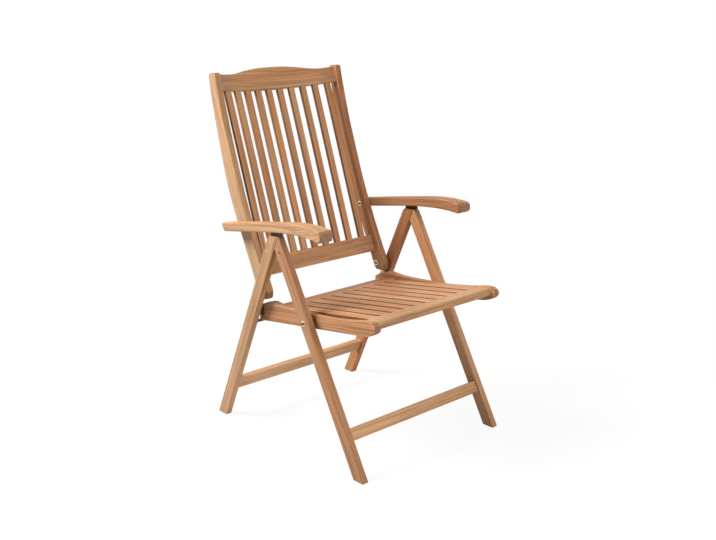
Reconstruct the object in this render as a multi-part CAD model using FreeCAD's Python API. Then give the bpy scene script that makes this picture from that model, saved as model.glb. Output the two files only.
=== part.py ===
import FreeCAD, Part
import math
import os

os.makedirs("parts", exist_ok=True)

# Folding high-back armchair in teak. Millimetres, +Z up, the sitter faces -Y, +X is the sitter's left.
# The chair is drawn open on the floor. Outlines seen from the side are (y, z) pairs measured from a pivot.

# Clearances
run_gap = 0.05
pin_gap = 0.4
joint_gap = 0.1
move_gap = 0.3

# Legs
leg_outer_x = 290.0
leg_thick = 22.0
front_foot_y = -364.0
front_slope = 0.5385
front_width = 43.5
rear_foot_y = 364.0
rear_slope = -0.487
rear_width = 44.0
leg_top_z = 659.0
leg_seam = 0.5
leg_edge_round = 2.5
front_top_round = 12.0
rear_top_round = 18.0
foot_round = 3.0

# Leg hinge, a steel plate let into both legs with a tongue that carries the latch pin
hinge_ahead = 30.0
hinge_z = 616.0
hinge_plate_thick = 4.0
hinge_kerf = 4.6
hinge_lobe_radius = 12.0
hinge_pin_radius = 4.0
hinge_pin_inset = 3.0
front_kerf_below = 24.0
front_kerf_skin = 4.0
plate_foot = 42.0
plate_front_depth = 6.0
plate_rear_depth = 34.0
plate_screw_depth = 24.0
plate_screw_high = 2.0
plate_screw_low = -31.0
plug_depth = 3.0
latch_pin_behind = 25.0
tongue_rise = 64.0
latch_pin_radius = 3.0
latch_pin_length = 13.0

# Stretchers
stretcher_thick = 18.0
stretcher_setback = 8.0
stretcher_tenon = 12.0
stretcher_tenon_thick = 9.0
stretcher_shoulder = 6.0
stretcher_round = 2.5
front_stretcher_height = 37.0
front_stretcher_z = 122.5
rear_stretcher_height = 44.0
rear_stretcher_z = 117.5

# Seat frame, measured from its pivot on the front legs
seat_pivot_z = 422.0
seat_pivot_inset = 23.25
seat_side_room = 12.0
seat_rail_thick = 21.0
seat_rail_round = 2.0
seat_rail_end_round = 9.0
seat_slope = 0.1334
seat_top_above_pivot = 19.8
seat_slat_rear = 165.5
seat_slat_length = 377.0
seat_nose_ahead = 32.0
front_rail_thick = 27.0
rear_rail_depth = 61.0
rear_rail_thick = 22.0
rear_rail_round = 1.5
rail_tenon = 10.0
front_tenon_ahead = 6.0
front_tenon_depth = 19.0
front_tenon_low = 8.0
front_tenon_thick = 12.0
rear_tenon_inset = 12.0
rear_tenon_low = 6.0
rear_tenon_thick = 10.0
rest_pin_z = 362.0
rest_pin_inset = 9.3
rest_pin_radius = 5.0
rest_pin_sunk = 14.0
rest_pin_reach = 18.0

# Seat slats
slat_count = 10
seat_slat_gap = 7.8
seat_slat_end_gap = 12.9
seat_slat_thick = 13.0
seat_slat_round = 2.0
seat_tongue_thick = 7.0
seat_tongue_length = 10.0
seat_tongue_shoulder = 4.0

# Back frame, measured from its pivot behind the seat
back_pivot_behind = 254.5
back_pivot_above = 38.0
back_lean = math.atan(0.3231)
back_plane_behind_pivot = 36.95
bow_radius = 682.0
stile_set_in = 1.0
stile_thick = 22.0
stile_edge_round = 2.5
stile_top_round = 9.0
stile_heel_radius = 37.5
back_rail_thick = 20.0
back_rail_proud = 2.0
back_rail_round = 3.0
bottom_rail_above_pivot = 40.8
bottom_rail_height = 57.1
back_slat_length = 533.6
top_rail_height = 52.0
crest_rise = 22.0
crest_half_width = 198.0
crest_fullness = 1.35
back_tenon = 10.0
back_tenon_thick = 10.0
back_tenon_shoulder = 8.0
back_tenon_depth = 3.0

# Back slats
back_slat_width = 22.5
back_slat_end_gap = 19.0
back_slat_thick = 12.0
back_slat_round = 1.5
back_tongue_length = 12.0
back_tongue_thick = 6.0
back_tongue_shoulder = 3.0

# Arms, measured from their pivot on the back
arm_pivot_behind = 79.5
arm_pivot_above = 195.0
arm_room = 1.0
arm_width = 38.0
arm_flare = 12.0
arm_edge_round = 5.0
arm_tip_outer_round = 14.0
arm_tip_inner_round = 22.0
arm_groove_half_width = 8.0
arm_groove_ahead = 129.0
arm_groove_behind = 77.0
arm_groove_depth_room = 60.0
arm_latch_slope = -0.052
notch_count = 5
notch_pitch = 20.2

# Hardware
bolt_radius = 4.0
washer_radius = 8.5
washer_thick = 1.6
head_radius = 4.6
head_height = 2.6
nut_radius = 6.5
nut_height = 5.0
bolt_past_nut = 2.0
back_nut_height = 4.0
arm_bolt_in_arm = 28.0
back_bush_radius = 12.0
arm_bush_radius = 14.0
bush_cover = 3.0
strap_thick = 3.0
strap_half_width = 7.0
strap_eye_radius = 8.5
strap_low_ahead = 10.0
strap_low_drop = 72.0
strap_screw_share = 0.36
strap_screw_stop = 5.0
screw_radius = 1.75
screw_head_radius = 3.6
screw_head_height = 1.8

# Places across the chair, from the outside in
leg_inner_x = leg_outer_x - leg_thick
plate_x = (leg_outer_x + leg_inner_x) / 2
rail_outer_x = leg_inner_x - seat_side_room
rail_inner_x = rail_outer_x - seat_rail_thick
stile_outer_x = rail_outer_x - stile_set_in
stile_inner_x = stile_outer_x - stile_thick
arm_inner_x = stile_outer_x + arm_room
arm_outer_x = arm_inner_x + arm_width

front_tilt = math.atan(front_slope)
rear_tilt = math.atan(rear_slope)
seat_tilt = math.atan(seat_slope)

parts = {}


def vec(x, y, z):
    return FreeCAD.Vector(x, y, z)


def front_edge_y(z):
    return front_foot_y + front_slope * z


def rear_edge_y(z):
    return rear_foot_y + rear_slope * z


# Pivots, seen from the side
hinge_y = rear_edge_y(hinge_z) - rear_width - hinge_ahead
latch_pin_y = hinge_y + latch_pin_behind
tongue_top_z = hinge_z + tongue_rise
seat_pivot_y = front_edge_y(seat_pivot_z) + seat_pivot_inset
rest_pin_y = rear_edge_y(rest_pin_z) - rear_width + rest_pin_inset
back_pivot_y = seat_pivot_y + back_pivot_behind
back_pivot_z = seat_pivot_z + back_pivot_above
arm_pivot_y = back_pivot_y + arm_pivot_behind
arm_pivot_z = back_pivot_z + arm_pivot_above


def around(y, z, pairs):
    return [(y + dy, z + dz) for dy, dz in pairs]


def line(x, first, last):
    return Part.makeLine(vec(x, *first), vec(x, *last))


def arc(x, first, middle, last):
    return Part.Arc(vec(x, *first), vec(x, *middle), vec(x, *last)).toShape()


def free_curve(points, leave=None, arrive=None):
    curve = Part.BSplineCurve()
    if leave:
        curve.interpolate(Points=points, InitialTangent=leave.normalize(), FinalTangent=arrive.normalize())
    else:
        curve.interpolate(points)
    return curve.toShape()


def side_curve(x, pairs):
    return free_curve([vec(x, y, z) for y, z in pairs])


def side_solid(edges, width):
    return Part.Face(Part.Wire(edges)).extrude(vec(width, 0, 0))


def side_polygon(x0, x1, pairs):
    ring = pairs + [pairs[0]]
    wire = Part.makePolygon([vec(x0, y, z) for y, z in ring])
    return Part.Face(wire).extrude(vec(x1 - x0, 0, 0))


def rod(radius, x0, x1, y, z):
    return Part.makeCylinder(radius, x1 - x0, vec(x0, y, z), vec(1, 0, 0))


def bore(shape, radius, x0, x1, y, z):
    return shape.cut(rod(radius, x0, x1, y, z))


def hex_nut(x0, x1, y, z):
    corners = []
    for i in range(6):
        angle = math.radians(60 * i)
        corners.append((y + nut_radius * math.cos(angle), z + nut_radius * math.sin(angle)))
    return side_polygon(x0, x1, corners)


def long_edges(shape, shortest):
    return [edge for edge in shape.Edges if edge.BoundBox.DiagonalLength > shortest]


def round_corner(shape, y, z, radius):
    chosen = []
    for edge in shape.Edges:
        first = edge.Vertexes[0].Point
        last = edge.Vertexes[-1].Point
        along = abs(first.x - last.x) > 1.0
        if along and math.hypot(first.y - y, first.z - z) < 0.6 and math.hypot(last.y - y, last.z - z) < 0.6:
            chosen.append(edge)
    return shape.makeFillet(radius, chosen)


# Rounds every edge that lies in the given side planes
def soften(shape, planes, radius):
    chosen = []
    for edge in shape.Edges:
        box = edge.BoundBox
        if box.XMax - box.XMin < 0.01 and min(abs(box.XMin - x) for x in planes) < 0.01:
            chosen.append(edge)
    return shape.makeFillet(radius, chosen)


def mirrored(shape):
    return shape.mirror(vec(0, 0, 0), vec(1, 0, 0))


def add_pair(name, shape):
    parts[name + "_left"] = shape
    parts[name + "_right"] = mirrored(shape)


def add_both(name, solids):
    parts[name] = Part.makeCompound(solids + [mirrored(solid) for solid in solids])


# Front legs
seam_y = -leg_seam / math.cos(rear_tilt)
crotch_z = (rear_foot_y - rear_width - front_foot_y - front_width + seam_y) / (front_slope - rear_slope)
front_top_rear_y = rear_edge_y(leg_top_z) - rear_width + seam_y
front_leg = side_polygon(leg_inner_x, leg_outer_x, [
    (front_foot_y, 0),
    (front_foot_y + front_width, 0),
    (front_edge_y(crotch_z) + front_width, crotch_z),
    (front_top_rear_y, leg_top_z),
    (front_edge_y(leg_top_z), leg_top_z),
])
top_room = (front_top_rear_y - front_edge_y(leg_top_z)) * math.tan((math.pi / 2 + front_tilt) / 2)
front_leg = round_corner(front_leg, front_edge_y(leg_top_z), leg_top_z, min(front_top_round, 0.95 * top_room))
front_leg = round_corner(front_leg, front_foot_y, 0, foot_round)
front_leg = round_corner(front_leg, front_foot_y + front_width, 0, foot_round)
front_leg = soften(front_leg, [leg_inner_x, leg_outer_x], leg_edge_round)

# Rear legs
rear_leg = side_polygon(leg_inner_x, leg_outer_x, [
    (rear_foot_y - rear_width, 0),
    (rear_foot_y, 0),
    (rear_edge_y(leg_top_z), leg_top_z),
    (rear_edge_y(leg_top_z) - rear_width, leg_top_z),
])
rear_leg = round_corner(rear_leg, rear_edge_y(leg_top_z), leg_top_z, rear_top_round)
rear_leg = round_corner(rear_leg, rear_foot_y, 0, foot_round)
rear_leg = round_corner(rear_leg, rear_foot_y - rear_width, 0, foot_round)
rear_leg = soften(rear_leg, [leg_inner_x, leg_outer_x], leg_edge_round)

hinge_depth = -hinge_ahead * math.cos(rear_tilt)
hinge_to_front_edge = (hinge_y - front_edge_y(hinge_z)) * math.cos(front_tilt)


# A point of the rear leg, up the leg from the hinge and behind the leg's front face
def rear_point(up, depth):
    reach = depth - hinge_depth
    y = hinge_y + math.sin(rear_tilt) * up + math.cos(rear_tilt) * reach
    z = hinge_z + math.cos(rear_tilt) * up - math.sin(rear_tilt) * reach
    return (y, z)


# A point of the front leg, up the leg from the hinge and behind the leg's front face
def front_point(up, depth):
    reach = depth - hinge_to_front_edge
    y = hinge_y + math.sin(front_tilt) * up + math.cos(front_tilt) * reach
    z = hinge_z + math.cos(front_tilt) * up - math.sin(front_tilt) * reach
    return (y, z)


# Hinge plates
plate_x0 = plate_x - hinge_plate_thick / 2
plate_x1 = plate_x + hinge_plate_thick / 2
tab_top = 20.0
tab = [rear_point(-plate_foot, plate_front_depth), rear_point(-plate_foot, plate_rear_depth),
       rear_point(tab_top, plate_rear_depth), rear_point(tab_top, plate_front_depth)]
neck = [rear_point(-hinge_lobe_radius, hinge_depth), rear_point(-hinge_lobe_radius, tab_top),
        rear_point(tab_top + 10, tab_top), rear_point(hinge_lobe_radius, hinge_depth)]
tongue = [rear_point(4, -20), rear_point(4, 30)]
tongue += around(latch_pin_y, tongue_top_z, [
    (29, -28), (26, -12), (15, 0), (-15, 0), (-26, -12), (-27, -19), (-17, -19)])
plate = rod(hinge_lobe_radius, plate_x0, plate_x1, hinge_y, hinge_z)
for outline in (tab, neck, tongue):
    plate = plate.fuse(side_polygon(plate_x0, plate_x1, outline))
plate = plate.removeSplitter()
plate = bore(plate, hinge_pin_radius + run_gap, plate_x0, plate_x1, hinge_y, hinge_z)
plate = bore(plate, latch_pin_radius + joint_gap, plate_x0, plate_x1, latch_pin_y, tongue_top_z)
screw_spots = [rear_point(plate_screw_high, plate_screw_depth), rear_point(plate_screw_low, plate_screw_depth)]
for y, z in screw_spots:
    plate = bore(plate, screw_radius + joint_gap, plate_x0, plate_x1, y, z)
add_pair("hinge_plate", plate)

# Slots for the plate, the rear one open at the leg's top and back where the tongue comes out
kerf_x0 = plate_x - hinge_kerf / 2
kerf_x1 = plate_x + hinge_kerf / 2
past_leg = 80.0
kerf_foot = -plate_foot - move_gap
kerf_front = plate_front_depth - move_gap
kerf_rear = plate_rear_depth + move_gap
rear_leg = rear_leg.cut(side_polygon(kerf_x0, kerf_x1, [
    rear_point(kerf_foot, kerf_front), rear_point(kerf_foot, kerf_rear), rear_point(-2, kerf_rear),
    rear_point(-2, past_leg), rear_point(past_leg, past_leg), rear_point(past_leg, -5),
    rear_point(-hinge_lobe_radius - 1, -5), rear_point(-hinge_lobe_radius - 1, kerf_front),
]))
front_leg = front_leg.cut(side_polygon(kerf_x0, kerf_x1, [
    front_point(-front_kerf_below, front_kerf_skin), front_point(-front_kerf_below, past_leg),
    front_point(past_leg, past_leg), front_point(past_leg, front_kerf_skin),
]))

# Screws that hold the plate, driven from the outer face of the rear leg and plugged flush
plug_x = leg_outer_x - plug_depth
plate_screws = []
plate_plugs = []
for y, z in screw_spots:
    screw = rod(screw_radius, leg_inner_x + plug_depth, plug_x, y, z)
    plate_screws.append(screw.fuse(rod(screw_head_radius, plug_x - screw_head_height, plug_x, y, z)))
    plate_plugs.append(rod(screw_head_radius, plug_x, leg_outer_x, y, z))
    rear_leg = bore(rear_leg, screw_radius + joint_gap, leg_inner_x + plug_depth - joint_gap, plug_x, y, z)
    rear_leg = bore(rear_leg, screw_head_radius + joint_gap, plug_x - screw_head_height, leg_outer_x + 1, y, z)
add_both("hinge_plate_screws", plate_screws)
add_both("leg_screw_plugs", plate_plugs)

# Latch pins, hinge pins and seat rest pins
add_both("latch_pins", [rod(latch_pin_radius, plate_x - latch_pin_length / 2, plate_x + latch_pin_length / 2,
                            latch_pin_y, tongue_top_z)])
pin_x0 = leg_inner_x + hinge_pin_inset
add_both("hinge_pivot_pins", [rod(hinge_pin_radius, pin_x0, leg_outer_x - leg_seam, hinge_y, hinge_z)])
front_leg = bore(front_leg, hinge_pin_radius, pin_x0, leg_outer_x + 1, hinge_y, hinge_z)
rest_pin_x1 = leg_inner_x + rest_pin_sunk
rest_pin = rod(rest_pin_radius, rail_outer_x - rest_pin_reach, rest_pin_x1, rest_pin_y, rest_pin_z)
add_both("seat_rest_pins", [rest_pin])
rear_leg = bore(rear_leg, rest_pin_radius, leg_inner_x - 1, rest_pin_x1, rest_pin_y, rest_pin_z)


# Stretchers: a rounded bar between the legs with a tenon on each end, leaning with the legs
def place_bar(shape, y, z, tilt):
    shape.rotate(vec(0, 0, 0), vec(1, 0, 0), -math.degrees(tilt))
    shape.translate(vec(0, y, z))
    return shape


def bar_tenon(height, grow):
    half = leg_inner_x + stretcher_tenon + grow
    thick = stretcher_tenon_thick + 2 * grow
    tall = height - 2 * stretcher_shoulder + 2 * grow
    return Part.makeBox(2 * half, thick, tall, vec(-half, (stretcher_thick - thick) / 2, -tall / 2))


def stretcher(height, y, z, tilt):
    bar = Part.makeBox(2 * leg_inner_x, stretcher_thick, height, vec(-leg_inner_x, 0, -height / 2))
    bar = bar.makeFillet(stretcher_round, long_edges(bar, 2 * leg_inner_x - 1))
    return place_bar(bar.fuse(bar_tenon(height, 0)), y, z, tilt)


def stretcher_mortise(height, y, z, tilt):
    return place_bar(bar_tenon(height, joint_gap), y, z, tilt)


front_bar_y = front_edge_y(front_stretcher_z) + stretcher_setback / math.cos(front_tilt)
rear_bar_y = rear_edge_y(rear_stretcher_z) - rear_width + stretcher_setback / math.cos(rear_tilt)
front_bar = (front_stretcher_height, front_bar_y, front_stretcher_z, front_tilt)
rear_bar = (rear_stretcher_height, rear_bar_y, rear_stretcher_z, rear_tilt)
parts["front_stretcher"] = stretcher(*front_bar)
parts["rear_stretcher"] = stretcher(*rear_bar)
front_leg = front_leg.cut(stretcher_mortise(*front_bar))
rear_leg = rear_leg.cut(stretcher_mortise(*rear_bar))

# Seat pivot bolts through the front legs and side rails
front_leg = bore(front_leg, bolt_radius + run_gap, leg_inner_x - 1, leg_outer_x + 1, seat_pivot_y, seat_pivot_z)
add_pair("front_leg", front_leg)
add_pair("rear_leg", rear_leg)
bolt_in = rail_inner_x - nut_height - bolt_past_nut
under_head = leg_outer_x + washer_thick
seat_bolt = rod(bolt_radius, bolt_in, under_head, seat_pivot_y, seat_pivot_z)
seat_bolt = seat_bolt.fuse(rod(head_radius, under_head, under_head + head_height, seat_pivot_y, seat_pivot_z))
add_both("seat_pivot_bolts", [seat_bolt])
seat_washer = rod(washer_radius, leg_outer_x, under_head, seat_pivot_y, seat_pivot_z)
seat_washer = bore(seat_washer, bolt_radius + run_gap, leg_outer_x, under_head, seat_pivot_y, seat_pivot_z)
add_both("seat_pivot_washers", [seat_washer])
spacer = rod(washer_radius, rail_outer_x + move_gap, leg_inner_x, seat_pivot_y, seat_pivot_z)
spacer = bore(spacer, bolt_radius + run_gap, rail_outer_x, leg_inner_x, seat_pivot_y, seat_pivot_z)
add_both("seat_pivot_spacers", [spacer])
seat_nut = hex_nut(rail_inner_x - nut_height - move_gap, rail_inner_x - move_gap, seat_pivot_y, seat_pivot_z)
seat_nut = bore(seat_nut, bolt_radius + run_gap, bolt_in, rail_inner_x, seat_pivot_y, seat_pivot_z)
add_both("seat_pivot_nuts", [seat_nut])

# Side rails of the seat: a straight underside, a rolled nose, a hollow top and a sloped rear end
rail_under = around(seat_pivot_y, seat_pivot_z, [(263.5, -57.5), (-183.5, 1.5)])
rail_top = around(seat_pivot_y, seat_pivot_z, [
    (-183.5, 1.5), (-245.5, 12.5), (-262.5, 21.0), (-272.5, 33.0), (-271.5, 41.5), (-263.5, 49.5),
    (-248.5, 53.5), (-235.5, 53.0), (-186.5, 43.2), (-132.5, 33.5), (-76.5, 25.5), (20.5, 18.0),
    (113.5, 12.8), (173.5, 14.2), (206.5, 13.5), (222.0, 8.5), (237.5, 2.5)])
rail_end = around(seat_pivot_y, seat_pivot_z, [(263.5, -9.0)])[0]
under_way = (rail_under[1][0] - rail_under[0][0], rail_under[1][1] - rail_under[0][1])
end_way = (rail_end[0] - rail_top[-1][0], rail_end[1] - rail_top[-1][1])
side_rail = side_solid([
    line(rail_inner_x, rail_under[0], rail_under[1]),
    free_curve([vec(rail_inner_x, y, z) for y, z in rail_top], vec(0, *under_way), vec(0, *end_way)),
    line(rail_inner_x, rail_top[-1], rail_end),
    line(rail_inner_x, rail_end, rail_under[0]),
], seat_rail_thick)
side_rail = round_corner(side_rail, rail_end[0], rail_end[1], seat_rail_end_round)
side_rail = soften(side_rail, [rail_inner_x, rail_outer_x], seat_rail_round)
side_rail = bore(side_rail, rest_pin_radius + move_gap, rail_inner_x - 1, rail_outer_x + 1, rest_pin_y, rest_pin_z)
side_rail = bore(side_rail, bolt_radius + run_gap, rail_inner_x, rail_outer_x, seat_pivot_y, seat_pivot_z)

# The seat's top plane: places are a y and a distance under the plane
seat_slat_rear_y = seat_pivot_y + seat_slat_rear
seat_slat_front_y = seat_slat_rear_y - seat_slat_length
nose_y = seat_slat_front_y - seat_nose_ahead
rear_rail_end_y = seat_slat_rear_y + rear_rail_depth


def seat_point(y, under):
    top = seat_pivot_z + seat_top_above_pivot - seat_slope * (y - seat_pivot_y)
    return (y - math.sin(seat_tilt) * under, top - math.cos(seat_tilt) * under)


def seat_board(half, y0, y1, top, low, grow):
    corners = [seat_point(y0 - grow, top - grow), seat_point(y1 + grow, top - grow),
               seat_point(y1 + grow, low + grow), seat_point(y0 - grow, low + grow)]
    return side_polygon(-half, half, corners)


def front_tenon(grow):
    y1 = seat_slat_front_y - front_tenon_ahead
    return seat_board(rail_inner_x + rail_tenon + grow, y1 - front_tenon_depth, y1,
                      front_tenon_low, front_tenon_low + front_tenon_thick, grow)


def rear_tenon(grow):
    return seat_board(rail_inner_x + rail_tenon + grow, seat_slat_rear_y + rear_tenon_inset,
                      rear_rail_end_y - rear_tenon_inset, rear_tenon_low, rear_tenon_low + rear_tenon_thick, grow)


# Front rail with a half-round nose, and flat rear rail
nose_radius = front_rail_thick / 2
nose_mid = seat_point(nose_y, nose_radius)
nose_tip = (nose_mid[0] - math.cos(seat_tilt) * nose_radius, nose_mid[1] + math.sin(seat_tilt) * nose_radius)
nose_top = seat_point(nose_y, 0)
nose_low = seat_point(nose_y, front_rail_thick)
rail_back_top = seat_point(seat_slat_front_y, 0)
rail_back_low = seat_point(seat_slat_front_y, front_rail_thick)
front_rail = side_solid([
    line(-rail_inner_x, rail_back_top, nose_top),
    arc(-rail_inner_x, nose_top, nose_tip, nose_low),
    line(-rail_inner_x, nose_low, rail_back_low),
    line(-rail_inner_x, rail_back_low, rail_back_top),
], 2 * rail_inner_x).fuse(front_tenon(0))
rear_rail = seat_board(rail_inner_x, seat_slat_rear_y, rear_rail_end_y, 0, rear_rail_thick, 0)
rear_rail = rear_rail.makeFillet(rear_rail_round, long_edges(rear_rail, 2 * rail_inner_x - 1)).fuse(rear_tenon(0))
side_rail = side_rail.cut(front_tenon(joint_gap))
side_rail = side_rail.cut(rear_tenon(joint_gap))

# Seat slats, each with a tongue in the front and rear rails
seat_slat_width = (2 * (rail_inner_x - seat_slat_end_gap) - (slat_count - 1) * seat_slat_gap) / slat_count
seat_slat_pitch = seat_slat_width + seat_slat_gap
tongue_top = (seat_slat_thick - seat_tongue_thick) / 2


def seat_slat_tongue(grow):
    return seat_board(seat_slat_width / 2 - seat_tongue_shoulder + grow, seat_slat_front_y - seat_tongue_length,
                      seat_slat_rear_y + seat_tongue_length, tongue_top, tongue_top + seat_tongue_thick, grow)


def seat_slat():
    half = seat_slat_width / 2
    slat = seat_board(half, seat_slat_front_y, seat_slat_rear_y, 0, seat_slat_thick, 0)
    front_top_z = seat_point(seat_slat_front_y, 0)[1]
    top_edges = []
    for edge in long_edges(slat, seat_slat_length - 1):
        if abs(edge.BoundBox.ZMax - front_top_z) < 0.1:
            top_edges.append(edge)
    return slat.makeFillet(seat_slat_round, top_edges).fuse(seat_slat_tongue(0))


for i in range(slat_count):
    across = vec((i - (slat_count - 1) / 2) * seat_slat_pitch, 0, 0)
    parts["seat_slat_%d" % (i + 1)] = seat_slat().translate(across)
    mortise = seat_slat_tongue(joint_gap).translate(across)
    front_rail = front_rail.cut(mortise)
    rear_rail = rear_rail.cut(mortise)
parts["seat_front_rail"] = front_rail
parts["seat_rear_rail"] = rear_rail

# Steel straps from the side rails up to the back pivots
strap_x0 = rail_outer_x
strap_x1 = rail_outer_x + strap_thick
strap_low_y = back_pivot_y - strap_low_ahead
strap_low_z = back_pivot_z - strap_low_drop
strap_length = math.hypot(strap_low_ahead, strap_low_drop)
side_y = strap_low_drop / strap_length * strap_half_width
side_z = strap_low_ahead / strap_length * strap_half_width
strap = side_polygon(strap_x0, strap_x1, [
    (strap_low_y + side_y, strap_low_z - side_z), (back_pivot_y + side_y, back_pivot_z - side_z),
    (back_pivot_y - side_y, back_pivot_z + side_z), (strap_low_y - side_y, strap_low_z + side_z),
])
strap = strap.fuse(rod(strap_half_width, strap_x0, strap_x1, strap_low_y, strap_low_z))
strap = strap.fuse(rod(strap_eye_radius, strap_x0, strap_x1, back_pivot_y, back_pivot_z)).removeSplitter()
strap = bore(strap, bolt_radius + run_gap, strap_x0, strap_x1, back_pivot_y, back_pivot_z)
strap_screws = []
screw_x0 = rail_inner_x + strap_screw_stop
for share in (0.0, strap_screw_share):
    y = strap_low_y + strap_low_ahead * share
    z = strap_low_z + strap_low_drop * share
    strap = bore(strap, screw_radius + joint_gap, strap_x0, strap_x1, y, z)
    side_rail = bore(side_rail, screw_radius, screw_x0, rail_outer_x + 1, y, z)
    screw = rod(screw_radius, screw_x0, strap_x1, y, z)
    strap_screws.append(screw.fuse(rod(screw_head_radius, strap_x1, strap_x1 + screw_head_height, y, z)))
add_pair("back_hinge_strap", strap)
add_both("strap_screws", strap_screws)
add_pair("seat_rail", side_rail)

# Back and arm pivots: bolt, washer and a steel bush let into the stile from its outer face
head_x = stile_inner_x - washer_thick
bush_x0 = stile_inner_x + bush_cover


def stile_bolt(end_x, y, z):
    bolt = rod(bolt_radius, head_x, end_x, y, z)
    return bolt.fuse(rod(head_radius, head_x - head_height, head_x, y, z))


def stile_washer(y, z):
    ring = rod(washer_radius, head_x, stile_inner_x - move_gap, y, z)
    return bore(ring, bolt_radius + run_gap, head_x, stile_inner_x, y, z)


def stile_bush(radius, y, z):
    ring = rod(radius, bush_x0, stile_outer_x, y, z)
    return bore(ring, bolt_radius + run_gap, bush_x0, stile_outer_x, y, z)


back_nut_x0 = strap_x1 + move_gap
back_nut_x1 = back_nut_x0 + back_nut_height
back_nut = hex_nut(back_nut_x0, back_nut_x1, back_pivot_y, back_pivot_z)
back_nut = bore(back_nut, bolt_radius + run_gap, back_nut_x0, back_nut_x1, back_pivot_y, back_pivot_z)
arm_bolt_x1 = arm_inner_x + arm_bolt_in_arm
add_both("back_pivot_bolts", [stile_bolt(back_nut_x1 + 1.0, back_pivot_y, back_pivot_z)])
add_both("back_pivot_nuts", [back_nut])
add_both("back_pivot_washers", [stile_washer(back_pivot_y, back_pivot_z)])
add_both("back_pivot_bushes", [stile_bush(back_bush_radius, back_pivot_y, back_pivot_z)])
add_both("arm_pivot_bolts", [stile_bolt(arm_bolt_x1, arm_pivot_y, arm_pivot_z)])
add_both("arm_pivot_washers", [stile_washer(arm_pivot_y, arm_pivot_z)])
add_both("arm_pivot_bushes", [stile_bush(arm_bush_radius, arm_pivot_y, arm_pivot_z)])

# Back stiles, with the heel rounded about the pivot
heel = []
for angle in (155, 185, 212):
    heel.append((back_pivot_y + stile_heel_radius * math.cos(math.radians(angle)),
                 back_pivot_z + stile_heel_radius * math.sin(math.radians(angle))))
stile_front = [heel[0]] + around(back_pivot_y, back_pivot_z, [
    (7.0, 100.5), (42.5, 180.0), (75.0, 258.0), (103.5, 338.0), (129.5, 418.0), (155.0, 500.0), (180.0, 597.0),
    (193.5, 657.0)])
stile_back = around(back_pivot_y, back_pivot_z, [
    (228.0, 655.0), (206.0, 523.0), (179.5, 413.0), (149.0, 303.0), (94.0, 173.0), (27.5, 26.0), (9.5, -14.0)])
heel_foot = around(back_pivot_y, back_pivot_z, [(1.0, -23.0), (-20.0, -23.0)])
stile = side_solid([
    side_curve(stile_inner_x, stile_front),
    line(stile_inner_x, stile_front[-1], stile_back[0]),
    side_curve(stile_inner_x, stile_back),
    line(stile_inner_x, stile_back[-1], heel_foot[0]),
    line(stile_inner_x, heel_foot[0], heel_foot[1]),
    line(stile_inner_x, heel_foot[1], heel[2]),
    arc(stile_inner_x, heel[2], heel[1], heel[0]),
], stile_thick)
stile = round_corner(stile, stile_front[-1][0], stile_front[-1][1], stile_top_round)
stile = round_corner(stile, stile_back[0][0], stile_back[0][1], stile_top_round)
stile = soften(stile, [stile_inner_x, stile_outer_x], stile_edge_round)
for y, z, radius in ((back_pivot_y, back_pivot_z, back_bush_radius), (arm_pivot_y, arm_pivot_z, arm_bush_radius)):
    stile = bore(stile, bolt_radius + run_gap, stile_inner_x - 1, stile_outer_x + 1, y, z)
    stile = bore(stile, radius + run_gap, bush_x0 - move_gap, stile_outer_x + 1, y, z)

# Back rails and slats are made upright, with y as depth behind the pivot and z as height above it, then leaned
bottom_rail_top = bottom_rail_above_pivot + bottom_rail_height
top_rail_low = bottom_rail_top + back_slat_length
top_rail_top = top_rail_low + top_rail_height
crest_top = top_rail_top + crest_rise


def lean(shape):
    shape.rotate(vec(0, 0, 0), vec(1, 0, 0), -math.degrees(back_lean))
    shape.translate(vec(0, back_pivot_y, back_pivot_z))
    return shape


# Depth of the bowed slat plane at a distance from the middle
def bow_depth(x):
    return back_plane_behind_pivot + math.sqrt(bow_radius * bow_radius - x * x) - bow_radius


# A curved board between two depths behind the slat plane
def bowed_board(front, rear, low, high):
    half = stile_inner_x
    side = bow_depth(half)
    middle = bow_depth(0)
    corners = [vec(-half, side + front, low), vec(half, side + front, low),
               vec(half, side + rear, low), vec(-half, side + rear, low)]
    edges = [Part.Arc(corners[0], vec(0, middle + front, low), corners[1]).toShape(),
             Part.makeLine(corners[1], corners[2]),
             Part.Arc(corners[2], vec(0, middle + rear, low), corners[3]).toShape(),
             Part.makeLine(corners[3], corners[0])]
    return Part.Face(Part.Wire(edges)).extrude(vec(0, 0, high - low))


def back_rail(low, high):
    return bowed_board(-back_rail_proud, back_rail_thick - back_rail_proud, low, high)


def rounded_back_rail(rail):
    return rail.makeFillet(back_rail_round, long_edges(rail, 2 * stile_inner_x - 1))


# Straight tenons past the ends of a bowed rail, rooted a little way inside it
def back_tenons(low, high, grow):
    tip = stile_inner_x + back_tenon + grow
    root = stile_inner_x - back_tenon_shoulder
    y0 = bow_depth(stile_inner_x) + back_tenon_depth - grow
    z0 = low + back_tenon_shoulder - grow
    tall = high - low - 2 * back_tenon_shoulder + 2 * grow
    both = Part.makeBox(2 * tip, back_tenon_thick + 2 * grow, tall, vec(-tip, y0, z0))
    return both.cut(Part.makeBox(2 * root, back_tenon_thick + 2, tall + 2, vec(-root, y0 - 1, z0 - 1)))


# Crest: a long low wave that rises between two flat shoulders
def crest_height(x):
    share = min(abs(x) / crest_half_width, 1.0) ** crest_fullness
    return top_rail_top + crest_rise * (1 + math.cos(math.pi * share)) / 2


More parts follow.
